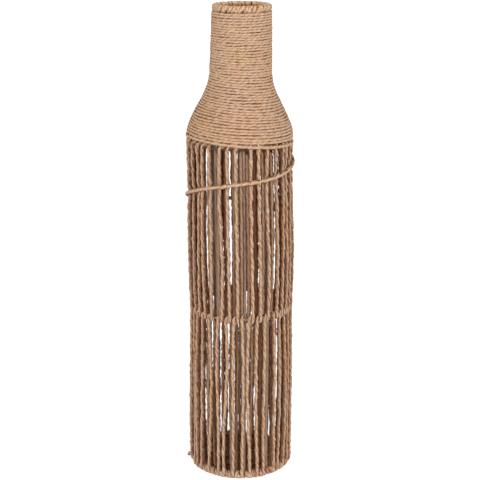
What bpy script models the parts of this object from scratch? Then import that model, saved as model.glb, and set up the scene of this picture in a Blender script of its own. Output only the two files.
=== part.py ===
"""Bottle vase of twisted fibre cord on a wire frame.

Four wire rings and ten bent ribs carry everything. The rim ring is whipped with cord, the neck and the
shoulder are wound, the body is laced over the rings in two tiers, bay by bay between the ribs, and the
base is a flat coil. A loose end of the shoulder's cord, a sub-part of its own, trails round the body.
Metres, +Z up, origin at the centre of the base, front towards -Y.
"""

import math

import bmesh
import bpy
import numpy as np
from mathutils import Vector

# Outline
body_height = 0.434
body_radius = 0.0665
shoulder_length = 0.084
neck_length = 0.0714

# Frame
wire_diameter = 0.0032
mid_ring_height = 0.218
ring_points = 36
rib_turn_shares = (0.014, 0.099, 0.207, 0.306, 0.405, 0.504, 0.603, 0.702, 0.801, 0.915)
rib_bend_shares = (0.12, 0.28, 0.46, 0.66, 0.86, 1.05)
clearance = 0.0003

# Whipped rim
whipping_cord_diameter = 0.0026
whipping_groove_depth = 0.0009
whipping_wraps = 44
whipping_sides = 6
whipping_points_per_ring_point = 4
whipping_slant_share = 0.35

# Wound neck and shoulder, as the centre line of the cord
winding_cord_diameter = 0.0030
winding_gap = 0.00045
winding_points = 13
profile_steps = 1200
neck_top_radius = 0.0349
neck_foot_radius = 0.0367
shoulder_turns = 23
winding_splice_share = 0.08
last_turn_droop = 0.0025
last_turn_droop_share = 0.55
last_turn_droop_width_share = 0.14
winding_end_turn_share = -0.244

# Trailing run: turns past the shoulder's last turn, and drop below it
trail_points = 26
trail_drop = 0.094
trail_turn_shares = (0, 0.10, 0.26, 0.40, 0.51, 0.63, 0.76, 0.86, 0.95, 1.05, 1.15, 1.26, 1.37)
trail_drop_shares = (0, 0.01, 0.11, 0.21, 0.29, 0.385, 0.47, 0.57, 0.69, 0.82, 0.94, 1.0, 0.985)

# Lacing
lacing_cord_diameter = 0.0040
lacing_tail = 0.014
hook_apex_share = 0.6

# Coiled base
base_cord_diameter = 0.0056
base_coil_gap = 0.0007
base_coil_eye_radius = 0.0048
base_coil_points = 14
foot_cut_share = 0.1
cutter_overrun = 0.010

# Sizes that follow from the ones above: levels
shoulder_top_height = body_height + shoulder_length
neck_winding_height = shoulder_top_height + neck_length
whipping_radius = wire_diameter / 2 + clearance + whipping_cord_diameter
rib_top_height = neck_winding_height + winding_cord_diameter / 2
rim_ring_height = rib_top_height + clearance + whipping_radius

# Rings and the lacing that bends round them
shoulder_radius = body_radius - winding_cord_diameter / 2
rim_ring_radius = neck_top_radius + winding_cord_diameter / 2 - whipping_radius
ring_sag = body_radius * (1 - math.cos(math.pi / ring_points))
lacing_seat = wire_diameter / 2 + ring_sag + clearance + lacing_cord_diameter / 2
lacing_outer_radius = body_radius - lacing_cord_diameter / 2
ring_radius = lacing_outer_radius - lacing_seat
lacing_inner_radius = ring_radius - lacing_seat
hook_corner_rise = lacing_seat * hook_apex_share
hook_apex_rise = (lacing_seat**2 + hook_corner_rise**2) / (2 * hook_corner_rise)
hook_spacing = (lacing_cord_diameter + clearance) / lacing_inner_radius
foot_corner = lacing_seat * math.tan(math.pi / 8)
base_ring_height = lacing_seat + lacing_cord_diameter * (1 / 2 - foot_cut_share)

# The last turn seats on the slanted tops of the hooks over the shoulder ring
last_turn_seat = winding_cord_diameter / 2 + clearance + lacing_cord_diameter / 2
last_turn_seat *= math.hypot(lacing_seat, hook_apex_rise - hook_corner_rise) / lacing_seat
shoulder_ring_height = body_height - last_turn_droop - last_turn_seat - hook_corner_rise

# Ribs, trailing run and base
rib_radius = ring_radius - ring_sag - wire_diameter - clearance
rib_foot_height = base_ring_height - wire_diameter / 2
rib_hook_angle = (wire_diameter / 2 + clearance + lacing_cord_diameter / 2) / lacing_inner_radius
trail_seat = body_radius + clearance + winding_cord_diameter / 2
trail_radius = trail_seat / math.cos(math.pi / trail_points)
base_coil_height = base_cord_diameter * (1 / 2 - foot_cut_share)
base_coil_seat = base_cord_diameter / 2 + clearance + lacing_cord_diameter / 2
base_coil_rise = base_ring_height - foot_corner - base_coil_height
base_coil_radius = lacing_inner_radius - math.sqrt(max(0, base_coil_seat**2 - base_coil_rise**2))


def clear_scene():
    for item in list(bpy.data.objects):
        bpy.data.objects.remove(item)


def make_material(name, colour, roughness, metallic=0.0):
    material = bpy.data.materials.new(name)
    material.use_nodes = True
    shader = material.node_tree.nodes["Principled BSDF"]
    shader.inputs["Base Color"].default_value = (*colour, 1)
    shader.inputs["Roughness"].default_value = roughness
    shader.inputs["Metallic"].default_value = metallic
    return material


def around(radius, turn, height):
    """A point at this radius and height; turn 0 is the front and a quarter turn is +X."""
    angle = math.tau * turn
    return Vector((radius * math.sin(angle), -radius * math.cos(angle), height))


def tube(name, points, diameter, material, closed=False):
    """A round cord or wire along the points, six-sided, with its ends capped."""
    data = bpy.data.curves.new(name, "CURVE")
    data.dimensions = "3D"
    data.twist_mode = "MINIMUM"
    data.bevel_depth = diameter / 2
    data.bevel_resolution = 1
    data.use_fill_caps = not closed
    spline = data.splines.new("POLY")
    spline.points.add(len(points) - 1)
    for place, point in zip(spline.points, points):
        place.co = (*point, 1)
    spline.use_cyclic_u = closed
    spline.use_smooth = True
    data.materials.append(material)
    item = bpy.data.objects.new(name, data)
    bpy.context.scene.collection.objects.link(item)
    return item


def least_gap(name, points, diameter):
    """Prints how near the cord comes to itself, measured on points a third of a diameter apart."""
    corners = np.array([tuple(point) for point in points])
    along = np.concatenate([[0], np.cumsum(np.linalg.norm(np.diff(corners, axis=0), axis=1))])
    stations = np.arange(0, along[-1], diameter / 3)
    samples = np.stack([np.interp(stations, along, corners[:, axis]) for axis in range(3)], axis=1)
    least = math.inf
    for index, sample in enumerate(samples):
        far = stations > stations[index] + 4 * diameter
        if far.any():
            least = min(least, float(np.linalg.norm(samples[far] - sample, axis=1).min()))
    print(f"{name}: {along[-1]:.3f} m of cord, least gap to itself {(least - diameter) * 1000:.2f} mm")


def ring(name, radius, height, points, material, first_share=0.0):
    places = [around(radius, (index + first_share) / points, height) for index in range(points)]
    return tube(name, places, wire_diameter, material, closed=True)


# Winding
def winding_radius(height):
    """Centre line of the wound cord: a slightly tapered neck that swells to the shoulder on a cosine."""
    taper = min(1, (neck_winding_height - height) / neck_length)
    neck = neck_top_radius + (neck_foot_radius - neck_top_radius) * taper
    swell = (shoulder_top_height - height) / shoulder_length
    swell = min(1, max(0, swell))
    return neck + (shoulder_radius - neck_foot_radius) * (1 - math.cos(math.pi * swell)) / 2


def winding_slope(height):
    """Angle of the wound surface from the vertical."""
    step = shoulder_length / profile_steps
    return math.atan2(winding_radius(height - step) - winding_radius(height + step), 2 * step)


def winding_heights():
    """Height of the cord at each point: as many turns as the profile holds, evenly apart along it."""
    levels = np.linspace(neck_winding_height, body_height, profile_steps)
    radii = np.array([winding_radius(level) for level in levels])
    along = np.concatenate([[0], np.cumsum(np.hypot(np.diff(levels), np.diff(radii)))])
    count = math.floor(along[-1] * winding_points / (winding_cord_diameter + winding_gap))
    return [float(level) for level in np.interp(np.linspace(0, along[-1], count + 1), along, levels)]


def winding_run(first, last, heights):
    """The cord from one point to another; it runs down clockwise, seen from above."""
    points = []
    for index in range(first, last + 1):
        turns_left = (len(heights) - 1 - index) / winding_points
        height = heights[index] - droop(turns_left)
        turn = winding_end_turn_share + turns_left
        points.append(around(winding_radius(heights[index]), turn, height))
    return points


def droop(turns_left):
    """How far the slack last turn hangs below its place."""
    away = (turns_left - last_turn_droop_share) / last_turn_droop_width_share
    return last_turn_droop * math.exp(-away * away / 2)


def winding_points_of_both():
    """The neck's cord and the shoulder's, which takes over one splice gap further on."""
    heights = winding_heights()
    last = len(heights) - 1
    splice = last - shoulder_turns * winding_points
    neck = winding_run(0, splice, heights)
    shoulder = winding_run(splice, last, heights)
    shoulder[0] = shoulder[0].lerp(shoulder[1], winding_splice_share)
    return neck, shoulder


def trail_height(turn_share):
    drop = np.interp(turn_share, trail_turn_shares, trail_drop_shares)
    return body_height - trail_drop * float(drop)


def trail_run(before, end):
    """The loose end: straight on from the last turn, then falling round the body on the lacing."""
    ahead = (end - before).normalized()
    points = [end + ahead * clearance, end + ahead * (clearance + winding_cord_diameter)]
    steps = round(trail_turn_shares[-1] * trail_points)
    for step in range(1, steps + 1):
        share = step / trail_points
        near = [trail_height(share + offset / trail_points) for offset in (-1, 0, 1)]
        points.append(around(trail_radius, winding_end_turn_share - share, sum(near) / len(near)))
    return points


# Frame
def rib_points(turn):
    """From the foot inside the base ring, up inside the rings, then under the shoulder and the neck."""
    offset = winding_cord_diameter / 2 + clearance + wire_diameter / 2
    inward = math.cos(math.pi / winding_points)
    points = [around(rib_radius, turn, rib_foot_height)]
    for share in rib_bend_shares:
        height = body_height + share * shoulder_length
        slope = winding_slope(height)
        radius = winding_radius(height) * inward - offset * math.cos(slope)
        points.append(around(min(rib_radius, radius), turn, height - offset * math.sin(slope)))
    points.append(around(neck_top_radius * inward - offset, turn, rib_top_height))
    return points


def make_frame(material):
    ring("rim_ring", rim_ring_radius, rim_ring_height, whipping_wraps // 2, material, first_share=1 / 2)
    ring("shoulder_ring", ring_radius, shoulder_ring_height, ring_points, material)
    ring("mid_ring", ring_radius, mid_ring_height, ring_points, material)
    ring("base_ring", ring_radius, base_ring_height, ring_points, material)
    for number, turn in enumerate(rib_turn_shares, start=1):
        tube(f"rib_{number:02d}", rib_points(turn), wire_diameter, material)


# Lacing
def hook_turns():
    """For each bay between two ribs, where the upper and the lower tier hook over the rings."""
    bays = []
    lower_first = True
    margin = rib_hook_angle / math.tau
    for bay, rib_turn in enumerate(rib_turn_shares):
        start = rib_turn + margin
        end = rib_turn_shares[(bay + 1) % len(rib_turn_shares)] - margin
        end += 1 if end < start else 0
        count = math.floor((end - start) * math.tau / hook_spacing) + 1
        turns = [start + (end - start) * index / (count - 1) for index in range(count)]
        lower = turns[::2] if lower_first else turns[1::2]
        upper = turns[1::2] if lower_first else turns[::2]
        bays.append((upper, lower))
        lower_first = lower_first == (count % 2 == 0)
    return bays


def apex_hook(turn, height, side, outward):
    """Three points round a ring, over it (side 1) or under it (side -1), going out or in."""
    points = [
        around(lacing_inner_radius, turn, height + side * hook_corner_rise),
        around(ring_radius, turn, height + side * hook_apex_rise),
        around(lacing_outer_radius, turn, height + side * hook_corner_rise),
    ]
    return points if outward else points[::-1]


def foot_hook(turn):
    """Four points inwards under the base ring, level below it where the vase stands."""
    return [
        around(lacing_outer_radius, turn, base_ring_height - foot_corner),
        around(ring_radius + foot_corner, turn, base_ring_height - lacing_seat),
        around(ring_radius - foot_corner, turn, base_ring_height - lacing_seat),
        around(lacing_inner_radius, turn, base_ring_height - foot_corner),
    ]


def lacing_points(turns, top_height, foot_height):
    """One cord wound lengthwise over two rings: down outside, under, and up inside to the next hook."""
    turns = turns[::-1]
    points = [around(lacing_inner_radius, turns[0], top_height - lacing_tail)]
    for turn in turns:
        points += apex_hook(turn, top_height, 1, outward=True)
        if foot_height == base_ring_height:
            points += foot_hook(turn)
        else:
            points += apex_hook(turn, foot_height, -1, outward=False)
    points.append(around(lacing_inner_radius, turns[-1], foot_height + lacing_tail))
    return points


def make_lacing(material):
    """Both tiers, a cord for each bay, and the lower cords' objects, which are the vase's feet."""
    feet = []
    for number, (upper, lower) in enumerate(hook_turns(), start=1):
        name = f"upper_lacing_{number:02d}"
        points = lacing_points(upper, shoulder_ring_height, mid_ring_height)
        tube(name, points, lacing_cord_diameter, material)
        least_gap(name, points, lacing_cord_diameter)
        name = f"lower_lacing_{number:02d}"
        points = lacing_points(lower, mid_ring_height, base_ring_height)
        feet.append(tube(name, points, lacing_cord_diameter, material))
        least_gap(name, points, lacing_cord_diameter)
    return feet


# Coiled base
def base_coil_route():
    """A flat spiral inwards from the first lower loop, which its outer end lies against."""
    _, lower = hook_turns()[0]
    pitch = (base_cord_diameter + base_coil_gap) / math.cos(math.pi / base_coil_points)
    turns = (base_coil_radius - base_coil_eye_radius) / pitch
    points = []
    for index in range(math.floor(turns * base_coil_points) + 1):
        radius = base_coil_radius - pitch * index / base_coil_points
        points.append(around(radius, lower[0] - index / base_coil_points, base_coil_height))
    return points


# Whipped rim
def whipping_section(turn, radius):
    """One closed section of the whipping round the rim ring, each wrap leaning along the ring."""
    points = []
    for side in range(whipping_sides):
        angle = math.tau * side / whipping_sides
        lean = whipping_slant_share * math.sin(angle) / whipping_wraps
        centre = rim_ring_radius + radius * math.cos(angle)
        points.append(around(centre, turn + lean, rim_ring_height + radius * math.sin(angle)))
    return points


def make_whipping(material):
    """A sleeve round the rim ring, ribbed wrap by wrap, open by one ring facet at the back."""
    mesh = bmesh.new()
    stations = 2 * whipping_wraps - whipping_points_per_ring_point
    start = 1 / 2 + whipping_points_per_ring_point / 2 / (2 * whipping_wraps)
    bore_radius = wire_diameter / 2 + clearance
    outer = []
    inner = []
    for station in range(stations + 1):
        turn = start + station / (2 * whipping_wraps)
        groove = whipping_groove_depth if station % 2 else 0
        section = whipping_section(turn, whipping_radius - groove)
        outer.append([mesh.verts.new(point) for point in section])
        if station % whipping_points_per_ring_point == 0:
            section = whipping_section(turn, bore_radius)
            inner.append([mesh.verts.new(point) for point in section])
    for loops in (outer, inner):
        for first, second in zip(loops, loops[1:]):
            for side in range(whipping_sides):
                beside = (side + 1) % whipping_sides
                mesh.faces.new((first[side], first[beside], second[beside], second[side]))
    for end in (0, -1):
        for side in range(whipping_sides):
            beside = (side + 1) % whipping_sides
            mesh.faces.new((outer[end][side], outer[end][beside], inner[end][beside], inner[end][side]))
    bmesh.ops.recalc_face_normals(mesh, faces=mesh.faces)
    data = bpy.data.meshes.new("rim_whipping")
    mesh.to_mesh(data)
    mesh.free()
    data.shade_smooth()
    data.materials.append(material)
    item = bpy.data.objects.new("rim_whipping", data)
    bpy.context.scene.collection.objects.link(item)


# Flat underside
def make_floor_cutter():
    mesh = bmesh.new()
    bmesh.ops.create_cube(mesh, size=1)
    side = 2 * (trail_radius + cutter_overrun)
    bmesh.ops.scale(mesh, vec=(side, side, cutter_overrun), verts=mesh.verts)
    bmesh.ops.translate(mesh, vec=(0, 0, -cutter_overrun / 2), verts=mesh.verts)
    data = bpy.data.meshes.new("floor_cutter")
    mesh.to_mesh(data)
    mesh.free()
    cutter = bpy.data.objects.new("floor_cutter", data)
    cutter.hide_render = True
    cutter.display_type = "WIRE"
    bpy.context.scene.collection.objects.link(cutter)
    return cutter


def cut_flat(cord, cutter):
    """Turns the cord into a mesh of the same name, its caps welded on, and cuts its underside flat."""
    name = cord.name
    graph = bpy.context.evaluated_depsgraph_get()
    data = bpy.data.meshes.new_from_object(cord.evaluated_get(graph))
    bpy.data.objects.remove(cord)
    mesh = bmesh.new()
    mesh.from_mesh(data)
    bmesh.ops.remove_doubles(mesh, verts=mesh.verts, dist=clearance / ring_points)
    mesh.to_mesh(data)
    mesh.free()
    item = bpy.data.objects.new(name, data)
    bpy.context.scene.collection.objects.link(item)
    cut = item.modifiers.new("flat underside", "BOOLEAN")
    cut.operation = "DIFFERENCE"
    cut.object = cutter


def build():
    clear_scene()
    steel = make_material("brown_steel", (0.16, 0.115, 0.085), 0.45, 0.8)
    rim_cord = make_material("rim_cord", (0.56, 0.34, 0.19), 0.85)
    wound_cord = make_material("wound_cord", (0.61, 0.38, 0.22), 0.85)
    laced_cord = make_material("laced_cord", (0.49, 0.31, 0.21), 0.88)
    base_cord = make_material("base_cord", (0.30, 0.17, 0.10), 0.88)

    make_frame(steel)
    make_whipping(rim_cord)

    neck, shoulder = winding_points_of_both()
    trail = trail_run(shoulder[-2], shoulder[-1])
    for name, points in (("neck_winding", neck), ("shoulder_winding", shoulder), ("trailing_cord", trail)):
        tube(name, points, winding_cord_diameter, wound_cord)
        least_gap(name, points, winding_cord_diameter)

    standing = make_lacing(laced_cord)
    coil = base_coil_route()
    standing.append(tube("base_coil", coil, base_cord_diameter, base_cord))
    least_gap("base_coil", coil, base_cord_diameter)

    bpy.context.view_layer.update()
    cutter = make_floor_cutter()
    for cord in standing:
        cut_flat(cord, cutter)


build()
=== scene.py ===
"""Looks of the fibre vase: every cord as two twisted plies on the route of its CAD node, wires, floor,
light and camera. Metres, +Z up, front towards -Y. Turn 0 is the front and a quarter turn is +X.
"""

import math
from typing import NamedTuple

import bpy
import numpy as np
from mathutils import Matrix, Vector


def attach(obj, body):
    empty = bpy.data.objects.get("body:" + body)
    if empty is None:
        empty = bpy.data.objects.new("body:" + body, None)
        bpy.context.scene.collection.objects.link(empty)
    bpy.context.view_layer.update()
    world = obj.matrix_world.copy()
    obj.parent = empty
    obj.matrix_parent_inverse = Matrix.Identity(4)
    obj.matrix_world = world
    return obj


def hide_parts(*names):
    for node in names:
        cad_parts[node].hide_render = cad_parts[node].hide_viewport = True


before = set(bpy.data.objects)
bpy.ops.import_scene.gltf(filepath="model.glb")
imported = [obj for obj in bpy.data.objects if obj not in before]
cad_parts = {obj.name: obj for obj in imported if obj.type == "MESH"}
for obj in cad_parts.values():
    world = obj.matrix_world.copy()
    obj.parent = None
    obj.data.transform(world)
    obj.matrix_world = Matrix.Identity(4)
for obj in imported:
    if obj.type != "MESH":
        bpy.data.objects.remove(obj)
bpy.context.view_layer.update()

# Sizes repeated from the CAD source
WIRE = 0.0032
BODY_HEIGHT = 0.434
BODY_RADIUS = 0.0665
SHOULDER_LENGTH = 0.084
NECK_LENGTH = 0.0714
MID_RING = 0.218
RING_POINTS = 36
RIB_TURNS = (0.014, 0.099, 0.207, 0.306, 0.405, 0.504, 0.603, 0.702, 0.801, 0.915)
CLEARANCE = 0.0003
WHIPPING = 0.0026
WHIPPING_WRAPS = 44
WINDING = 0.0030
WINDING_GAP = 0.00045
WINDING_STATIONS = 13
PROFILE_STEPS = 1200
NECK_TOP_RADIUS = 0.0349
NECK_FOOT_RADIUS = 0.0367
SHOULDER_TURNS = 23
END_TURN = -0.244
DROOP = 0.0025
TRAIL_DROP = 0.094
TRAIL_TURNS = (0, 0.10, 0.26, 0.40, 0.51, 0.63, 0.76, 0.86, 0.95, 1.05, 1.15, 1.26, 1.37)
TRAIL_DROPS = (0, 0.01, 0.11, 0.21, 0.29, 0.385, 0.47, 0.57, 0.69, 0.82, 0.94, 1.0, 0.985)
LACING = 0.0040
LACING_TAIL = 0.014
HOOK_APEX = 0.6
BASE_CORD = 0.0056
BASE_GAP = 0.0007
BASE_EYE = 0.0048
BASE_STATIONS = 14
FOOT_CUT = 0.1

# Levels and radii that follow from them
TOP_HEIGHT = BODY_HEIGHT + SHOULDER_LENGTH
NECK_START = TOP_HEIGHT + NECK_LENGTH
WHIP_OUTER = WIRE / 2 + CLEARANCE + WHIPPING
RIB_TOP = NECK_START + WINDING / 2
RIM_HEIGHT = RIB_TOP + CLEARANCE + WHIP_OUTER
RIM_RADIUS = NECK_TOP_RADIUS + WINDING / 2 - WHIP_OUTER
SHOULDER_RADIUS = BODY_RADIUS - WINDING / 2
SAG = BODY_RADIUS * (1 - math.cos(math.pi / RING_POINTS))
SEAT = WIRE / 2 + SAG + CLEARANCE + LACING / 2
RING = BODY_RADIUS - LACING / 2 - SEAT
CORNER = SEAT * HOOK_APEX
APEX = (SEAT**2 + CORNER**2) / (2 * CORNER)
BASE_RING = SEAT + LACING * (0.5 - FOOT_CUT)
LAST_SEAT = (WINDING / 2 + CLEARANCE + LACING / 2) * math.hypot(SEAT, APEX - CORNER) / SEAT
SHOULDER_RING = BODY_HEIGHT - DROOP - LAST_SEAT - CORNER

# A ply's section, in radii of its cord: how far out its middle lies, and half its depth and breadth
PLY_OFFSET, PLY_DEPTH, PLY_BREADTH = 0.37, 0.63, 0.82
WOUND_BREADTH = 0.9

# The winding as it looks: its cord, its count of turns, and how they roll, tilt, step down and droop
WOUND_RADIUS = 0.00188
NECK_CLOSER = 0.95
SHOULDER_SHOWN = 22
SHOULDER_THICKER = 1.06
ROLL, ROLL_EASE = 0.0003, 0.02
ROLL_WAVES = ((2, 31, 1.0), (5, 47, 0.7), (9, -83, 0.5))
TILT, TILT_MIDDLE, TILT_REACH = 0.0048, 0.9, 0.141
FIRST_TURN, TURN_POINTS = -0.43, 90
BACK, BACK_STEP, LEVEL_TURNS = 0.5, 0.12, 9
UNEVEN, UNEVEN_LEVEL_WAVE, UNEVEN_RADIUS_WAVE = 0.00016, 0.7, 0.9
DROOP_LOOK, DROOP_LOOK_AT, DROOP_LOOK_WIDTH = 0.0040, 0.55, 0.17
END_SAG, END_SAG_LENGTH, END_SAG_BEND = 0.0030, 0.13, 1.5

# The last turn and the trailing cord as they look. Places and lengths along them are in turns
LAST_RADIUS, LAST_FROM, LAST_EASE = 0.00222, 0.95, 0.2
TRAIL_RADIUS = 0.0024
TRAIL_LIE = 0.0661
TRAIL_STEP, TRAIL_EASE, TRAIL_WINDOW = 0.004, 0.10, 19
TRAIL_RAISE, TRAIL_RAISE_AT, TRAIL_RAISE_WIDTH = 0.0038, 0.87, 0.15
TRAIL_SETTLED = 0.4

# The lacing as it looks
LACED_RADIUS = 0.0023
LOWER_THINNER = 0.96
LACED_SINK = 0.00005
LACED_SEAT = WIRE / 2 + LACED_RADIUS - LACED_SINK
RING_LIFT = 0.0084
TAIL_LIFT = 0.001
HOOK_POINTS, HOOK_EASE = 13, 0.8
FOOT_HOOK_RADII = 1.45
INNER_REACH = 0.0036
INNER_STRAY, INNER_BOW, TAIL_BOW = 0.0045, 0.0036, 0.0012
RUN_POINTS, RUN_DEPTH = 40, 0.0003
RUN_SWAY, RUN_WAVER, RUN_WAVER_WAVE = 0.5, 0.3, 0.23
PRESSED, PRESS_REACH, PRESS_FROM = 0.0023, 0.007, 0.06

# How deep in the shade the inner runs lie, from 0 to 1, and how that differs from run to run
HIDDEN = 0.9
SHADE, SHADE_SPREAD, SHADE_MIX = 0.84, 0.16, 900

# The whipped rim as it looks
RIM_CORD_RADIUS, RIM_CORD_FLAT, RIM_SQUARENESS = 0.0026, 0.56, 0.8
RIM_DROP = 0.0005
RIM_POINTS = 24
RIM_SLANT, RIM_SWAY, RIM_SWAY_WAVE = 0.34, 0.2, 3.1
RIM_UNEVEN, RIM_UNEVEN_WAVE = 0.04, 2.3
RIM_INSIDE_SHADE, RIM_LOW_SHADE, RIM_LOW_FROM = 0.5, 0.75, 0.6

# Wires
RING_WIRE_POINTS = 145
RIB_BODY_POINTS, RIB_WOUND_POINTS, RIB_JOIN = 20, 60, 0.01

# The cord whipped round the foot, and its loose end
FOOT_CORD_RADIUS, FOOT_SEAT, FOOT_WRAPS, FOOT_START = 0.0019, 0.0034, 91.75, -0.232
FOOT_POINTS = 16
FOOT_SLANT, FOOT_SWAY, FOOT_SWAY_WAVE = 0.3, 0.25, 2.7
LOOSE_RADII = (0.0636, 0.0655, 0.0673, 0.0692)
LOOSE_TURNS = (-0.006, -0.010, -0.014, -0.018)
LOOSE_HEIGHTS = (0.0096, 0.0090, 0.0070, 0.0040)
LOOSE_END_RADIUS = 0.0024

# The base coil as it looks, with extra turns outside and its middle this many radii over the floor
BASE_COIL_RADIUS, BASE_EXTRA, BASE_REST, BASE_POINTS = 0.0033, 0.9, 1.26, 60

# The vase is a little crooked: how far its axis strays sideways, and how far the outer runs bulge
STRAY_LEVELS = (0, 0.06, 0.15, 0.22, 0.29, 0.36, 0.44, 0.48, 0.52, 0.56, 0.6)
STRAYS = (0, 0, 0.0009, 0.0007, 0.0004, -0.0007, -0.0013, -0.0007, 0.0004, 0.0011, 0.0017)
BULGE_LEVELS = (0, 0.05, 0.11, 0.17, 0.218, 0.25, 0.30, 0.35, 0.40, 0.43)
BULGES = (0.0007, 0.0012, 0.0011, 0.0002, -0.0006, 0.0006, 0.0011, 0.0, -0.0005, -0.0003)
EASED_FROM, EASED_TO, EASED_STEPS, EASED_WINDOW = -0.1, 0.7, 801, 41

# Random draws behind the routes' own irregularity, and the fewest steps along a cord or wire
WINDING_SEED, RIM_SEED, FOOT_SEED = 5, 9, 17
FEWEST_STEPS = 8


# Places and noise
def smoothing(window):
    """Weights that sum to one, for a running mean."""
    weights = np.hanning(window)
    return weights / weights.sum()


def eased(levels, values):
    """A table made smooth, as a function of height."""
    fine = np.linspace(EASED_FROM, EASED_TO, EASED_STEPS)
    smooth = np.convolve(np.interp(fine, levels, values), smoothing(EASED_WINDOW), mode="same")
    return lambda height: np.interp(height, fine, smooth)


stray = eased(STRAY_LEVELS, STRAYS)
bulge = eased(BULGE_LEVELS, BULGES)


def around(radius, turn, height):
    """Points at these radii, turns and heights, moved sideways with the axis."""
    angle = math.tau * np.asarray(turn, float)
    radius, height = np.broadcast_to(radius, angle.shape), np.broadcast_to(height, angle.shape)
    return np.stack([radius * np.sin(angle) + stray(height), -radius * np.cos(angle), height], axis=-1)


def tangential(turn):
    """Unit vectors along the circle at each turn."""
    angle = math.tau * np.asarray(turn, float)
    return np.stack([np.cos(angle), np.sin(angle), np.zeros_like(angle)], axis=-1)


def upward(points):
    """A unit vector straight up for each point."""
    return np.broadcast_to([0.0, 0.0, 1.0], points.shape)


WOBBLE_SHARES, WOBBLE_PEAK = (1.0, 0.61, 0.37), 1.25


def wobble(rng, where, wave):
    """Smooth noise of about unit size along a length, with bumps about one wave apart."""
    total = np.zeros_like(where)
    for share in WOBBLE_SHARES:
        total += share * np.sin(math.tau * (where / (wave * share) + rng.random()))
    return total / WOBBLE_PEAK


# Cords and wires as meshes
class Path(NamedTuple):
    """Evenly spaced stations on a route, with two directions across it at each."""

    points: np.ndarray
    along: np.ndarray
    given: np.ndarray
    first: np.ndarray
    second: np.ndarray

    def carry(self, value):
        """A value or a list of values for the route's own points, at the stations."""
        return np.interp(self.along, self.given, np.broadcast_to(value, self.given.shape))


def even_path(points, reference, step):
    """The route at even steps. Its first direction across is the reference, made square to the route."""
    given = np.concatenate([[0], np.cumsum(np.linalg.norm(np.diff(points, axis=0), axis=1))])
    along = np.linspace(0, given[-1], max(FEWEST_STEPS, int(given[-1] / step)) + 1)
    path, wanted = (np.stack([np.interp(along, given, values[:, k]) for k in range(3)], axis=1)
                    for values in (points, reference))
    tangent = np.gradient(path, axis=0)
    tangent /= np.linalg.norm(tangent, axis=1, keepdims=True)
    first = wanted - (wanted * tangent).sum(1, keepdims=True) * tangent
    first /= np.linalg.norm(first, axis=1, keepdims=True)
    return Path(path, along, given, first, np.cross(tangent, first))


class Sweep(NamedTuple):
    """A swept section: its points by station and side, and the values that its material reads."""

    grid: np.ndarray
    along: np.ndarray
    tone: np.ndarray
    depth: np.ndarray
    flank: np.ndarray


def sweep_mesh(name, sweeps, material):
    """One mesh from several swept sections, each capped at both ends."""
    faces, caps, coords = [], [], []
    base = 0
    for sweep in sweeps:
        stations, sides = sweep.grid.shape[:2]
        i, j = np.meshgrid(np.arange(stations - 1), np.arange(sides), indexing="ij")
        k = (j + 1) % sides
        quads = np.stack([i * sides + j, i * sides + k, (i + 1) * sides + k, (i + 1) * sides + j], -1)
        faces.append(quads.reshape(-1, 4) + base)
        u = np.stack([sweep.along[i], sweep.along[i], sweep.along[i + 1], sweep.along[i + 1]], -1)
        v = np.stack([j, j + 1, j + 1, j], -1) / sides
        coords.append(np.stack([u, v], -1).reshape(-1, 2))
        caps.append((np.arange(sides)[::-1] + base).tolist())
        caps.append((np.arange(sides) + base + (stations - 1) * sides).tolist())
        base += stations * sides
    mesh = bpy.data.meshes.new(name)
    verts = np.concatenate([sweep.grid.reshape(-1, 3) for sweep in sweeps])
    mesh.from_pydata(verts, [], np.concatenate(faces).tolist() + caps)
    uv = np.concatenate(coords)
    filler = np.zeros((len(mesh.loops) - len(uv), 2))
    mesh.uv_layers.new(name="Fibre").data.foreach_set("uv", np.concatenate([uv, filler]).ravel())
    tones = [np.repeat(sweep.tone, sweep.grid.shape[1]) for sweep in sweeps]
    depths = [sweep.depth.reshape(-1) for sweep in sweeps]
    flanks = [sweep.flank.reshape(-1) for sweep in sweeps]
    for attribute, values in (("tone", tones), ("depth", depths), ("flank", flanks)):
        mesh.attributes.new(attribute, "FLOAT", "POINT").data.foreach_set("value", np.concatenate(values))
    mesh.shade_smooth()
    mesh.materials.append(material)
    item = bpy.data.objects.new(name, mesh)
    bpy.context.scene.collection.objects.link(item)
    return item


# How uneven a cord is: amounts, and the wave lengths along the cord that they vary with
SWELL_WAVE, RIPPLE, RIPPLE_WAVE = 0.034, 0.5, 0.009
PLY_SWELL, PLY_SWELL_WAVE = 0.8, 0.014
TWIST_SWAY, TWIST_WAVE = 0.8, 0.06
PLY_SWAY, PLY_SWAY_WAVE = 0.15, 0.021
RIDGES, RIDGE_DEPTH, RIDGE_SWAY, RIDGE_WAVE = 4, 0.035, 9, 0.02
TONE_SWAY, TONE_WAVE, TONE_STEP = 0.7, 0.09, 0.5
PLY_SHIFT = 0.37


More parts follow.
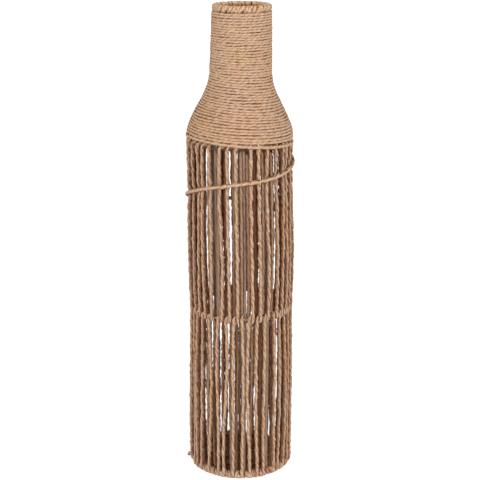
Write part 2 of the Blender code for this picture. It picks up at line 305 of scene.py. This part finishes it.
def rope(name, points, reference, radius, material, seed, lay=3.8, step=0.0011, sides=10,
         rough=0.07, tones=(0.5, 0.25), flat=1.0, breadth=PLY_BREADTH, hidden=0.0):
    """A cord of two left-hand twisted plies along the points, whose lay is in cord diameters."""
    rng = np.random.default_rng(seed)
    path = even_path(points, reference, step)
    along, middle = path.along, path.points[:, None]
    radius, hidden = path.carry(radius), path.carry(hidden)
    swell = rough * wobble(rng, along, SWELL_WAVE)
    thick = radius * (1 + swell + rough * RIPPLE * wobble(rng, along, RIPPLE_WAVE))
    laid = np.cumsum(np.append(0, np.diff(along)) / (lay * 2 * radius))
    twist = -math.tau * laid + TWIST_SWAY * wobble(rng, along, TWIST_WAVE)
    around_ply = math.tau * np.arange(sides) / sides
    sweeps = []
    for ply in range(2):
        phase = twist + math.pi * ply + PLY_SWAY * wobble(rng, along, PLY_SWAY_WAVE)
        size = (thick * (1 + rough * PLY_SWELL * wobble(rng, along, PLY_SWELL_WAVE)))[:, None]
        out = np.cos(phase)[:, None] * path.first + np.sin(phase)[:, None] * path.second
        side = -np.sin(phase)[:, None] * path.first + np.cos(phase)[:, None] * path.second
        centre = path.points + out * PLY_OFFSET * size
        ridge_sway = RIDGE_SWAY * wobble(rng, along, RIDGE_WAVE)[:, None]
        ridges = 1 + RIDGE_DEPTH * np.sin(RIDGES * around_ply + ridge_sway)
        # The section starts at the hidden inner side, so that the seam of its coordinates is out of sight
        inner = -np.cos(around_ply) * PLY_DEPTH * size * ridges
        across = np.sin(around_ply) * breadth * size * ridges
        grid = centre[:, None] + inner[..., None] * out[:, None] - across[..., None] * side[:, None]
        rise = ((grid - middle) * path.second[:, None]).sum(-1, keepdims=True)
        grid = grid - (1 - flat) * rise * path.second[:, None]
        tone = tones[0] + tones[1] * (TONE_SWAY * wobble(rng, along, TONE_WAVE) + TONE_STEP * rng.normal())
        # Painted shade: depth marks the ply's inner side, where the two plies meet, and the whole of any
        # part given as hidden
        depth = np.maximum((1 + np.cos(around_ply)) / 2, hidden[:, None])
        # How far a point lies out to the side of the route, which the material darkens as painted shade
        flank = np.abs(((grid - middle) * path.first[:, None]).sum(-1)) / thick[:, None]
        sweeps.append(Sweep(grid, along + ply * PLY_SHIFT + seed, tone, depth, flank))
    return sweep_mesh(name, sweeps, material)


def wire(name, points, reference, radius, material, sides=10, step=0.004, closed=False):
    """A round wire along the points. A closed one ends on its first section again."""
    path = even_path(points, reference, step)
    turn = math.tau * np.arange(sides) / sides
    out = np.cos(turn)[:, None] * path.first[:, None] + np.sin(turn)[:, None] * path.second[:, None]
    grid = path.points[:, None] + radius * out
    if closed:
        grid = np.concatenate([grid[:-1], grid[:1]])
    none = np.zeros(grid.shape[:2])
    return sweep_mesh(name, [Sweep(grid, path.along, np.full(len(grid), 0.5), none, none)], material)


# Materials
def linear(red, green, blue):
    """A colour given as it looks on screen, as the linear values that a material takes."""
    return tuple(((c / 255 + 0.055) / 1.055) ** 2.4 for c in (red, green, blue)) + (1,)


class Nodes:
    """Short calls for building a material's node tree."""

    def __init__(self, name):
        self.material = bpy.data.materials.new(name)
        self.material.use_nodes = True
        self.tree = self.material.node_tree
        self.shader = self.tree.nodes["Principled BSDF"]

    def add(self, kind, **settings):
        node = self.tree.nodes.new(kind)
        for key, value in settings.items():
            setattr(node, key, value)
        return node

    def link(self, source, target):
        self.tree.links.new(source, target)

    def attribute(self, name):
        return self.add("ShaderNodeAttribute", attribute_name=name).outputs["Fac"]

    def noise(self, vector, scale, detail=4.0, roughness=0.6, distortion=0.0):
        node = self.add("ShaderNodeTexNoise")
        self.link(vector, node.inputs["Vector"])
        node.inputs["Scale"].default_value = scale
        node.inputs["Detail"].default_value = detail
        node.inputs["Roughness"].default_value = roughness
        node.inputs["Distortion"].default_value = distortion
        return node.outputs["Fac"]

    def ramp(self, value, *stops):
        node = self.add("ShaderNodeValToRGB")
        self.link(value, node.inputs["Fac"])
        elements = node.color_ramp.elements
        elements[0].position, elements[0].color = stops[0]
        elements[1].position, elements[1].color = stops[-1]
        for place, colour in stops[1:-1]:
            elements.new(place).color = colour
        return node.outputs["Color"]

    def mix(self, factor, first, second, blend="MIX"):
        node = self.add("ShaderNodeMix", data_type="RGBA", blend_type=blend)
        for value, socket in ((factor, 0), (first, 6), (second, 7)):
            if isinstance(value, (float, tuple)):
                node.inputs[socket].default_value = value
            else:
                self.link(value, node.inputs[socket])
        return node.outputs[2]

    def range(self, value, low, high, new_low, new_high):
        node = self.add("ShaderNodeMapRange")
        self.link(value, node.inputs["Value"])
        limits = {"From Min": low, "From Max": high, "To Min": new_low, "To Max": new_high}
        for name, number in limits.items():
            node.inputs[name].default_value = number
        return node.outputs["Result"]

    def product(self, first, second):
        node = self.add("ShaderNodeMath", operation="MULTIPLY")
        self.link(first, node.inputs[0])
        self.link(second, node.inputs[1])
        return node.outputs[0]

    def bump(self, height, strength, distance):
        node = self.add("ShaderNodeBump")
        node.inputs["Strength"].default_value = strength
        node.inputs["Distance"].default_value = distance
        self.link(height, node.inputs["Height"])
        self.link(node.outputs["Normal"], self.shader.inputs["Normal"])

    def finish(self, colour, roughness):
        self.link(colour, self.shader.inputs["Base Color"])
        self.link(roughness, self.shader.inputs["Roughness"])


# Cord: noise scales, stops of its ramps, and ranges as low and high before and after
STREAK_STRETCH, STREAK_SCALE, STREAK_STOPS = (160, 5, 1), 1.6, (0.28, 0.5, 0.72)
PATCH_SCALE, PATCH_STOPS = 55, (0.3, 0.65)
FLECK_SCALE, DRIFT_SCALE, FLANK_SHADE_PATCH_SCALE = 420, 17, 190
TONE_RANGE = (0.1, 0.9, 0.0, 0.65)
FLECK_RANGE = (0.58, 0.78, 0.0, 0.45)
DRIFT_RANGE = (0.4, 0.62, 0.0, 0.8)
GROOVE_SHADE_RANGE = (0.45, 0.95, 0.0, 1.0)
FLANK_SHADE_RANGE = (0.34, 0.88, 0.0, 1.0)
FLANK_SHADE_PATCH_RANGE = (0.38, 0.6, 0.25, 1.0)
CORD_ROUGHNESS = (0.3, 0.7, 0.92, 0.72)
CORD_SPECULAR, CORD_SHEEN, CORD_SHEEN_ROUGHNESS = 0.25, 0.12, 0.5
CORD_BUMP, CORD_BUMP_DEPTH = 0.55, 0.0003
DRIFT = linear(255, 249, 232)


def cord_material(name, pale, mid, dark, odd, groove_shade, side):
    """Fibre cord: streaks that run with the ply, tone by ply and place, and painted shade in grooves and
    on flanks.
    """
    n = Nodes(name)
    uv = n.add("ShaderNodeUVMap", uv_map="Fibre")
    mapping = n.add("ShaderNodeMapping")
    mapping.inputs["Scale"].default_value = STREAK_STRETCH
    n.link(uv.outputs["UV"], mapping.inputs["Vector"])
    streaks = n.noise(mapping.outputs["Vector"], STREAK_SCALE, detail=6, roughness=0.7, distortion=0.4)
    space = n.add("ShaderNodeTexCoord").outputs["Object"]
    patches = n.ramp(n.noise(space, PATCH_SCALE, detail=5), *zip(PATCH_STOPS, (odd, mid)))
    flecks = n.range(n.noise(space, FLECK_SCALE, detail=3), *FLECK_RANGE)
    drift = n.range(n.noise(space, DRIFT_SCALE), *DRIFT_RANGE)
    # Patches in which the painted shade on the flanks is stronger or weaker
    flank_shade_patches = n.range(n.noise(space, FLANK_SHADE_PATCH_SCALE, detail=2), *FLANK_SHADE_PATCH_RANGE)

    colour = n.ramp(streaks, *zip(STREAK_STOPS, (dark, mid, pale)))
    colour = n.mix(n.range(n.attribute("tone"), *TONE_RANGE), colour, patches)
    colour = n.mix(flecks, colour, dark)
    colour = n.mix(drift, colour, DRIFT, blend="MULTIPLY")
    # Painted shade in the ply grooves and on hidden parts, read from the depth attribute
    colour = n.mix(n.range(n.attribute("depth"), *GROOVE_SHADE_RANGE), colour, groove_shade, blend="MULTIPLY")
    # Painted shade on the cord's flanks, where it lies against its neighbours, in patches
    flank_shade = n.product(n.range(n.attribute("flank"), *FLANK_SHADE_RANGE), flank_shade_patches)
    colour = n.mix(flank_shade, colour, side, blend="MULTIPLY")
    n.finish(colour, n.range(streaks, *CORD_ROUGHNESS))
    n.shader.inputs["Specular IOR Level"].default_value = CORD_SPECULAR
    n.shader.inputs["Sheen Weight"].default_value = CORD_SHEEN
    n.shader.inputs["Sheen Roughness"].default_value = CORD_SHEEN_ROUGHNESS
    n.bump(streaks, CORD_BUMP, CORD_BUMP_DEPTH)
    return n.material


# Wire, in the same terms
WIRE_PATCH_SCALE, WIRE_PATCH_STOPS = 60, (0.3, 0.55, 0.75)
GRAIN_SCALE, GRAIN_RANGE = 900, (0.6, 0.75, 0.0, 0.5)
WIRE_ROUGHNESS = (0.3, 0.7, 0.42, 0.62)
WIRE_BUMP, WIRE_BUMP_DEPTH = 0.3, 0.0002


def wire_material(name, dark, mid, warm):
    """Dull painted wire with patches and a fine grain."""
    n = Nodes(name)
    space = n.add("ShaderNodeTexCoord").outputs["Object"]
    patches = n.noise(space, WIRE_PATCH_SCALE, detail=5, roughness=0.65)
    grain = n.noise(space, GRAIN_SCALE, detail=3)
    colour = n.ramp(patches, *zip(WIRE_PATCH_STOPS, (dark, mid, warm)))
    colour = n.mix(n.range(grain, *GRAIN_RANGE), colour, dark)
    n.finish(colour, n.range(patches, *WIRE_ROUGHNESS))
    n.bump(grain, WIRE_BUMP, WIRE_BUMP_DEPTH)
    return n.material


# The groove and side colours are painted shade: the first for ply grooves and hidden parts, the second for
# the flanks
WOUND = cord_material(
    "wound_fibre", pale=linear(243, 213, 186), mid=linear(233, 197, 165), dark=linear(206, 164, 128),
    odd=linear(224, 180, 142), groove_shade=linear(200, 158, 122), side=linear(134, 82, 46))
RIMMED = cord_material(
    "rim_fibre", pale=linear(252, 228, 194), mid=linear(240, 206, 170), dark=linear(208, 164, 124),
    odd=linear(236, 196, 158), groove_shade=linear(206, 166, 132), side=linear(160, 110, 72))
LACED = cord_material(
    "laced_fibre", pale=linear(237, 212, 191), mid=linear(222, 189, 161), dark=linear(180, 140, 110),
    odd=linear(203, 161, 139), groove_shade=linear(146, 98, 62), side=linear(193, 149, 112))
BASED = cord_material(
    "base_fibre", pale=linear(198, 160, 128), mid=linear(176, 136, 104), dark=linear(134, 96, 70),
    odd=linear(140, 100, 74), groove_shade=linear(160, 122, 96), side=linear(140, 104, 80))
RIB_PAINT = wire_material(
    "rib_wire", dark=linear(150, 124, 104), mid=linear(192, 166, 142), warm=linear(168, 136, 110))
# Painted shade: a darker copy of the wire paint, for rings that lie in shade under the cords
SHADED_RING_PAINT = wire_material(
    "shaded_ring_wire", dark=linear(84, 62, 48), mid=linear(112, 86, 68), warm=linear(96, 70, 52))


def dress(piece, slot, *nodes):
    """The piece rides on the vase's one body and stands for these CAD nodes."""
    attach(piece, "root")
    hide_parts(*nodes)


# Windings
def winding_radius(height):
    """Radius of the wound cord's centre line at each height of neck and shoulder."""
    taper = np.minimum(1, (NECK_START - height) / NECK_LENGTH)
    neck = NECK_TOP_RADIUS + (NECK_FOOT_RADIUS - NECK_TOP_RADIUS) * taper
    swell = np.clip((TOP_HEIGHT - height) / SHOULDER_LENGTH, 0, 1)
    return neck + (SHOULDER_RADIUS - NECK_FOOT_RADIUS) * (1 - np.cos(math.pi * swell)) / 2


def rolling(turn, height):
    """How far neighbouring turns roll up and down together, none at the rim and at the body."""
    total = np.zeros_like(height)
    for waves, slope, share in ROLL_WAVES:
        total += share * np.sin(math.tau * (waves * turn + slope * height))
    free = np.clip(np.minimum(NECK_START - height, height - BODY_HEIGHT) / ROLL_EASE, 0, 1)
    return ROLL * total * free


def tilted(turn, height):
    """How far the turns rise, most at the left and at the body, because the winding is a little askew."""
    grown = np.clip((BODY_HEIGHT + TILT_REACH - height) / TILT_REACH, 0, 1)
    return TILT * grown * (TILT_MIDDLE - np.sin(math.tau * turn))


def winding_route():
    """Turns left to the lower end, and the turn, radius and height of the wound cord at each.

    The upper turns run level and step down at the back, so that the first one lies flat under the rim.
    """
    levels = np.linspace(NECK_START, BODY_HEIGHT, PROFILE_STEPS)
    along = np.concatenate([[0], np.cumsum(np.hypot(np.diff(levels), np.diff(winding_radius(levels))))])
    turns = math.floor(along[-1] * WINDING_STATIONS / (WINDING + WINDING_GAP)) / WINDING_STATIONS
    shown = SHOULDER_SHOWN + math.ceil((turns - SHOULDER_TURNS) / NECK_CLOSER + END_TURN) - END_TURN
    closer = (turns - SHOULDER_TURNS) / (shown - SHOULDER_SHOWN)
    wound = np.arange(FIRST_TURN, shown, 1 / TURN_POINTS)
    past_back = (wound + BACK) % 1
    leaving, arriving = (np.clip((past_back - start) / BACK_STEP, 0, 1) for start in (0, 1 - BACK_STEP))
    stepped = (leaving + arriving) / 2
    level_share = np.clip(1 - wound / LEVEL_TURNS, 0, 1)
    left = shown - wound
    even = np.where(left > SHOULDER_SHOWN, SHOULDER_TURNS + (left - SHOULDER_SHOWN) * closer,
                    left * SHOULDER_TURNS / SHOULDER_SHOWN)
    wraps = turns - even + closer * level_share * (stepped - past_back)
    height = np.interp(np.maximum(wraps, 0) / turns * along[-1], along, levels)
    rng = np.random.default_rng(WINDING_SEED)
    away = (left - DROOP_LOOK_AT) / DROOP_LOOK_WIDTH
    sag = DROOP_LOOK * np.exp(-away * away / 2) + UNEVEN * wobble(rng, left, UNEVEN_LEVEL_WAVE)
    sag = sag + END_SAG * np.clip(1 - left / END_SAG_LENGTH, 0, 1) ** END_SAG_BEND
    turn = END_TURN + left
    level = height + rolling(turn, height) + tilted(turn, height)
    radius = winding_radius(level) + UNEVEN * wobble(rng, left, UNEVEN_RADIUS_WAVE)
    return left, turn, radius, level - sag


ROUTE = winding_route()


def trail_height(share):
    """Height of the trailing cord, which settles from the tilted winding's end onto its CAD route."""
    drop = np.interp(share, TRAIL_TURNS, TRAIL_DROPS)
    raised = TRAIL_RAISE * np.exp(-(((share - TRAIL_RAISE_AT) / TRAIL_RAISE_WIDTH) ** 2))
    end_lift = float(tilted(END_TURN, BODY_HEIGHT)) - END_SAG
    raised = raised + end_lift * (1 + np.cos(math.pi * np.clip(share / TRAIL_SETTLED, 0, 1))) / 2
    return BODY_HEIGHT - TRAIL_DROP * drop + raised


def make_neck():
    _, turn, radius, height = (values[ROUTE[0] > SHOULDER_SHOWN] for values in ROUTE)
    points = around(radius, turn, height)
    cord = rope("neck_cord", points, upward(points), WOUND_RADIUS, WOUND, seed=11, breadth=WOUND_BREADTH)
    dress(cord, "wound_cord", "neck_winding")


def make_shoulder():
    """The shoulder's winding and the trailing cord, in one piece."""
    left, turn, radius, height = (values[ROUTE[0] <= SHOULDER_SHOWN] for values in ROUTE)
    share = np.arange(TRAIL_STEP, TRAIL_TURNS[-1], TRAIL_STEP)
    ease = np.clip(share / TRAIL_EASE, 0, 1)
    ease = ease * ease * (3 - 2 * ease)
    trail_radius = radius[-1] + (TRAIL_LIE - radius[-1]) * ease
    padded = np.pad(trail_height(share), TRAIL_WINDOW // 2, mode="edge")
    level = np.convolve(padded, smoothing(TRAIL_WINDOW), mode="valid")
    trail = around(trail_radius, END_TURN - share, level)
    points = np.concatenate([around(radius, turn, height), trail])
    wound = WOUND_RADIUS + (LAST_RADIUS - WOUND_RADIUS) * np.clip((LAST_FROM - left) / LAST_EASE, 0, 1)
    thick = np.concatenate([wound, LAST_RADIUS + (TRAIL_RADIUS - LAST_RADIUS) * ease]) * SHOULDER_THICKER
    cord = rope("shoulder_cord", points, upward(points), thick, WOUND, seed=12, breadth=WOUND_BREADTH,
                rough=0.05)
    dress(cord, "wound_cord", "shoulder_winding", "trailing_cord")


# Lacing
class Tier(NamedTuple):
    """A tier of lacing: its rings' heights, its cord, and how far its outer runs stray and bow."""

    top: float
    foot: float
    at_foot: bool
    radius: float
    stray: float
    bow: float
    route_seed: int
    rope_seed: int


# The seeds of a tier's cords are numbered on from these
TIERS = {
    "upper": Tier(top=SHOULDER_RING + RING_LIFT, foot=MID_RING, at_foot=False, radius=LACED_RADIUS,
                  stray=0.0030, bow=0.0036, route_seed=1091, rope_seed=40),
    "lower": Tier(top=MID_RING, foot=BASE_RING, at_foot=True, radius=LACED_RADIUS * LOWER_THINNER,
                  stray=0.0046, bow=0.0042, route_seed=1074, rope_seed=80),
}


def hook_turns():
    """For each bay between two ribs, the turns of the upper tier's hooks and of the lower tier's."""
    inner = RING - SEAT
    margin = (WIRE / 2 + CLEARANCE + LACING / 2) / inner / math.tau
    spacing = (LACING + CLEARANCE) / inner
    bays, lower_first = [], True
    for bay, rib in enumerate(RIB_TURNS):
        start = rib + margin
        end = RIB_TURNS[(bay + 1) % len(RIB_TURNS)] - margin
        end += 1 if end < start else 0
        count = math.floor((end - start) * math.tau / spacing) + 1
        turns = [start + (end - start) * index / (count - 1) for index in range(count)]
        lower = turns[::2] if lower_first else turns[1::2]
        upper = turns[1::2] if lower_first else turns[::2]
        bays.append((upper, lower))
        lower_first = lower_first == (count % 2 == 0)
    return bays


def hook(outer_turn, inner_turn, height, rise, side, outward):
    """Half a round about a ring, over it (side 1) or under it (side -1), going out or in."""
    sweep = np.linspace(math.pi, 0, HOOK_POINTS)
    outness = (1 + np.cos(sweep)) / 2
    radius = RING + LACED_SEAT * np.cos(sweep) + bulge(height) * outness
    level = height + side * rise * np.sin(sweep)
    place = inner_turn + (outer_turn - inner_turn) * np.clip(np.cos(sweep), 0, 1) ** HOOK_EASE
    flow = slice(None) if outward else slice(None, None, -1)
    return radius[flow], place[flow], level[flow], (1 - outness)[flow]


def pressed(turn, height):
    """How far the trailing cord presses the outer runs in where it crosses them."""
    total = np.zeros_like(height)
    for lap in (0, 1):
        share = (END_TURN - turn) % 1 + lap
        near = np.exp(-(((height - trail_height(share)) / PRESS_REACH) ** 2))
        total = np.maximum(total, near * ((share > PRESS_FROM) & (share < TRAIL_TURNS[-1])))
    return PRESSED * total


def run(rng, outer, start, end, top, foot, bow):
    """A stretch from one ring to the other that bows a little sideways and in depth."""
    share = np.linspace(0, 1, RUN_POINTS)[1:-1]
    height = top + (foot - top) * share
    swell = np.sin(math.pi * share)
    lean = bow * (rng.normal() * swell + RUN_SWAY * rng.normal() * np.sin(math.tau * share))
    lean += RUN_WAVER * bow * wobble(rng, share, RUN_WAVER_WAVE) * swell
    turn = start + (end - start) * share + lean
    depth = RUN_DEPTH * rng.normal() * swell
    if outer:
        return RING + LACED_SEAT + bulge(height) - pressed(turn, height) + depth, turn, height, 0 * share
    shade = SHADE + SHADE_SPREAD * math.sin(SHADE_MIX * start)
    return RING - LACED_SEAT + INNER_REACH * np.sqrt(swell) + depth, turn, height, 0 * share + shade


def end_stub(turn, height):
    """Where a cord's end lies inside the ring."""
    return np.array([RING - LACED_SEAT]), np.array([turn]), np.array([height]), np.array([1.0])


def lacing_route(rng, tier, turns, beside):
    """Down outside at each turn, and up inside at the turns between them and beside the ribs."""
    turns, top, foot = turns[::-1], tier.top, tier.foot
    foot_rise = BASE_RING - FOOT_HOOK_RADII * LACED_RADIUS if tier.at_foot else LACED_SEAT
    between = [(one + other) / 2 + (INNER_STRAY * rng.normal() if tier.at_foot else 0)
               for one, other in zip(turns, turns[1:])]
    first = [turn for turn in beside if turn > turns[0]]
    last = [turn for turn in beside if turn < turns[-1]]
    risen, sunk = [*(first or turns[:1]), *between], [*between, *(last or turns[-1:])]
    if first:
        parts = [run(rng, False, first[0], first[0], foot + TAIL_LIFT, top, TAIL_BOW)]
    else:
        parts = [end_stub(turns[0], top - LACING_TAIL)]
    for turn, before, after in zip(turns, risen, sunk):
        high, low = (turn + tier.stray * rng.normal() * free for free in (not tier.at_foot, tier.at_foot))
        parts.append(hook(high, before, top, LACED_SEAT, 1, True))
        parts.append(run(rng, True, high, low, top, foot, tier.bow))
        if tier.at_foot:
            halfway = (low + after) / 2
            parts.append(hook(low, halfway, foot, foot_rise, -1, False))
            parts.append(hook(after, halfway, foot, LACED_SEAT, 1, True))
            parts.append(hook(after, after, foot, foot_rise, -1, False))
        else:
            parts.append(hook(low, after, foot, foot_rise, -1, False))
        if turn != turns[-1]:
            parts.append(run(rng, False, after, after, foot, top, INNER_BOW))
    if last:
        parts.append(run(rng, False, last[0], last[0], foot, top - TAIL_LIFT, TAIL_BOW))
    else:
        parts.append(end_stub(turns[-1], foot + LACING_TAIL))
    radius, turn, height, hidden = (np.concatenate([part[k] for part in parts]) for k in range(4))
    return around(radius, turn, height), tangential(turn), HIDDEN * hidden


def make_lacing():
    for number, (upper, lower) in enumerate(hook_turns(), start=1):
        for name, turns, beside in (("upper", upper, lower), ("lower", lower, upper)):
            tier = TIERS[name]
            rng = np.random.default_rng(tier.route_seed + number)
            points, reference, hidden = lacing_route(rng, tier, turns, beside)
            cord = rope(f"{name}_lacing_cord_{number:02d}", points, reference, tier.radius, LACED,
                        seed=tier.rope_seed + number, lay=5.2, step=0.0012, rough=0.11,
                        tones=(0.5, 0.5), hidden=hidden)
            dress(cord, "laced_cord", f"{name}_lacing_{number:02d}")


# Rim, rings, ribs and base
def make_rim():
    """Flat cord whipped round the rim ring, with painted shade inside and most of all low down there."""
    share = np.linspace(0, 1, WHIPPING_WRAPS * RIM_POINTS + 1)
    sweep = math.tau * WHIPPING_WRAPS * share
    rng = np.random.default_rng(RIM_SEED)
    sway = RIM_SWAY * wobble(rng, share * WHIPPING_WRAPS, RIM_SWAY_WAVE)
    lean = (RIM_SLANT * np.sin(sweep) + sway) / WHIPPING_WRAPS
    uneven = 1 + RIM_UNEVEN * wobble(rng, share * WHIPPING_WRAPS, RIM_UNEVEN_WAVE)
    minor = (WIRE / 2 + RIM_CORD_RADIUS * RIM_CORD_FLAT) * uneven
    out, up = (np.sign(v) * np.abs(v) ** RIM_SQUARENESS for v in (np.cos(sweep), np.sin(sweep)))
    points = around(RIM_RADIUS + minor * out, BACK + share + lean, RIM_HEIGHT - RIM_DROP + minor * up)
    inside = np.clip(-np.cos(sweep), 0, 1)
    low = np.clip(RIM_LOW_FROM - np.sin(sweep), 0, 1)
    hidden = RIM_INSIDE_SHADE * inside**0.5 + RIM_LOW_SHADE * inside * low
    cord = rope("rim_cord", points, tangential(BACK + share), RIM_CORD_RADIUS, RIMMED, seed=31,
                lay=2.6, step=0.0008, rough=0.1, flat=RIM_CORD_FLAT, hidden=hidden)
    dress(cord, "rim_cord", "rim_whipping")


def make_rings():
    turn = np.linspace(0, 1, RING_WIRE_POINTS)
    # The rim and shoulder rings take the darker wire paint, which is painted shade
    for name, radius, height, paint in (
            ("rim_ring", RIM_RADIUS, RIM_HEIGHT, SHADED_RING_PAINT),
            ("shoulder_ring", RING, SHOULDER_RING + RING_LIFT, SHADED_RING_PAINT),
            ("mid_ring", RING, MID_RING, RIB_PAINT),
            ("base_ring", RING, BASE_RING, RIB_PAINT)):
        points = around(radius, turn, height)
        ring = wire(name + "_wire", points, upward(points), WIRE / 2, paint, closed=True)
        dress(ring, "frame_wire", name)


def rib_profile():
    """Radius and height along a rib, from the base ring straight up and then inside the winding."""
    body = RING - WIRE
    levels = np.linspace(BODY_HEIGHT, RIB_TOP, RIB_WOUND_POINTS)
    offset = WINDING / 2 + CLEARANCE + WIRE / 2
    slope = np.arctan2(-np.gradient(winding_radius(levels)), np.gradient(levels))
    radius = np.minimum(body, winding_radius(levels) - offset * np.cos(slope))
    straight = np.linspace(BASE_RING - WIRE / 2, BODY_HEIGHT - RIB_JOIN, RIB_BODY_POINTS)
    radius = np.concatenate([np.full(RIB_BODY_POINTS, body), radius])
    height = np.concatenate([straight, levels - offset * np.sin(slope)])
    return radius[height <= RIB_TOP], height[height <= RIB_TOP]


def make_ribs():
    radius, height = rib_profile()
    for number, place in enumerate(RIB_TURNS, start=1):
        turn = np.full(len(height), place)
        rib = wire(f"rib_{number:02d}_wire", around(radius, turn, height), tangential(turn), WIRE / 2,
                   RIB_PAINT)
        dress(rib, "frame_wire", f"rib_{number:02d}")


def make_foot():
    """Cord whipped round the base ring between the loops of the lacing, with a loose end at the left."""
    share = np.linspace(0, 1, int(FOOT_WRAPS * FOOT_POINTS) + 1)
    sweep = math.tau * FOOT_WRAPS * share
    rng = np.random.default_rng(FOOT_SEED)
    sway = FOOT_SWAY * wobble(rng, share * FOOT_WRAPS, FOOT_SWAY_WAVE)
    lean = (FOOT_SLANT * np.sin(sweep) + sway) / FOOT_WRAPS
    points = around(RING + FOOT_SEAT * np.cos(sweep), FOOT_START + share + lean,
                    BASE_RING - FOOT_SEAT * np.sin(sweep))
    loose = around(LOOSE_RADII, FOOT_START + np.array(LOOSE_TURNS), LOOSE_HEIGHTS)
    # Painted shade on the inner side of the whipping, none on the loose end
    hidden = np.append(HIDDEN * np.clip(-np.cos(sweep), 0, 1), np.zeros(len(loose)))
    reference = tangential(np.append(FOOT_START + share, np.full(len(loose), FOOT_START)))
    radius = np.repeat((FOOT_CORD_RADIUS, LOOSE_END_RADIUS), (len(points), len(loose)))
    cord = rope("foot_cord", np.concatenate([points, loose]), reference, radius, LACED, seed=61,
                lay=4.2, step=0.001, rough=0.09, tones=(0.5, 0.4), hidden=hidden)
    dress(cord, "laced_cord", "base_ring")


def make_base():
    rise = BASE_RING - SEAT * math.tan(math.pi / 8) - BASE_CORD * (0.5 - FOOT_CUT)
    seat = BASE_CORD / 2 + CLEARANCE + LACING / 2
    radius = RING - SEAT - math.sqrt(seat**2 - rise**2)
    pitch = (BASE_CORD + BASE_GAP) / math.cos(math.pi / BASE_STATIONS)
    _, lower = hook_turns()[0]
    share = np.arange(-BASE_EXTRA, (radius - BASE_EYE) / pitch, 1 / BASE_POINTS)
    points = around(radius - pitch * share, lower[0] - share, BASE_REST * BASE_COIL_RADIUS)
    cord = rope("base_cord_coil", points, upward(points), BASE_COIL_RADIUS, BASED, seed=21, lay=3.4,
                breadth=WOUND_BREADTH)
    dress(cord, "base_cord", "base_coil")


make_neck()
make_shoulder()
make_lacing()
make_rim()
make_rings()
make_ribs()
make_foot()
make_base()

# Floor, light and camera
FLOOR_HALF, FLOOR_GREY, FLOOR_GLOW = 14.0, 0.8, 0.76
STUDIO_LIGHT, STUDIO_SEEN = 0.28, 1.0
PHOTO_SIDE_PX, SHIFT_X_PX, SHIFT_Y_PX = 480, -0.5, 2.8
LENS, SENSOR = 90.3, 36
CAMERA_PLACE, CAMERA_PITCH = (0, -1.465, 0.738), 16.65


def make_floor():
    """A matt floor that glows for the camera only, so that it looks white and casts no extra light."""
    corners = [(x * FLOOR_HALF, y * FLOOR_HALF, 0) for x, y in ((-1, -1), (1, -1), (1, 1), (-1, 1))]
    mesh = bpy.data.meshes.new("floor")
    mesh.from_pydata(corners, [], [(0, 1, 2, 3)])
    floor = bpy.data.objects.new("floor", mesh)
    bpy.context.scene.collection.objects.link(floor)
    n = Nodes("pale_floor")
    n.shader.inputs["Base Color"].default_value = (FLOOR_GREY, FLOOR_GREY, FLOOR_GREY, 1)
    n.shader.inputs["Roughness"].default_value = 1.0
    n.shader.inputs["Specular IOR Level"].default_value = 0.0
    n.shader.inputs["Emission Color"].default_value = (1, 1, 1, 1)
    seen = n.add("ShaderNodeLightPath").outputs["Is Camera Ray"]
    n.link(n.range(seen, 0, 1, 0, FLOOR_GLOW), n.shader.inputs["Emission Strength"])
    mesh.materials.append(n.material)


def make_studio():
    """Even white light from all sides, which looks brighter to the camera than it shines."""
    world = bpy.data.worlds.new("studio")
    bpy.context.scene.world = world
    world.use_nodes = True
    tree = world.node_tree
    background = tree.nodes["Background"]
    path = tree.nodes.new("ShaderNodeLightPath")
    strength = tree.nodes.new("ShaderNodeMapRange")
    strength.inputs["To Min"].default_value = STUDIO_LIGHT
    strength.inputs["To Max"].default_value = STUDIO_SEEN
    tree.links.new(path.outputs["Is Camera Ray"], strength.inputs["Value"])
    tree.links.new(strength.outputs["Result"], background.inputs["Strength"])
    background.inputs["Color"].default_value = (1, 1, 1, 1)


def make_sun(name, azimuth, elevation, spread, strength):
    """A soft distant light, with its angles in degrees: round from the front, up, and across."""
    data = bpy.data.lights.new(name, "SUN")
    data.angle = math.radians(spread)
    data.energy = strength
    lamp = bpy.data.objects.new(name, data)
    side, rise = math.radians(azimuth), math.radians(elevation)
    towards = Vector((math.sin(side) * math.cos(rise), -math.cos(side) * math.cos(rise), math.sin(rise)))
    lamp.rotation_euler = towards.to_track_quat("Z", "Y").to_euler()
    bpy.context.scene.collection.objects.link(lamp)


def make_camera():
    """The photo's camera, a little above the vase and looking down on it."""
    data = bpy.data.cameras.new("camera")
    data.lens = LENS
    data.sensor_width = SENSOR
    data.shift_x = SHIFT_X_PX / PHOTO_SIDE_PX
    data.shift_y = SHIFT_Y_PX / PHOTO_SIDE_PX
    camera = bpy.data.objects.new("camera", data)
    camera.location = CAMERA_PLACE
    camera.rotation_euler = (math.radians(90 - CAMERA_PITCH), 0, 0)
    bpy.context.scene.collection.objects.link(camera)
    bpy.context.scene.camera = camera


make_floor()
make_studio()
make_sun("key", azimuth=-42, elevation=7, spread=60, strength=2.00)
make_sun("fill", azimuth=50, elevation=5, spread=80, strength=2.42)
make_camera()
bpy.context.scene.view_settings.view_transform = "Standard"
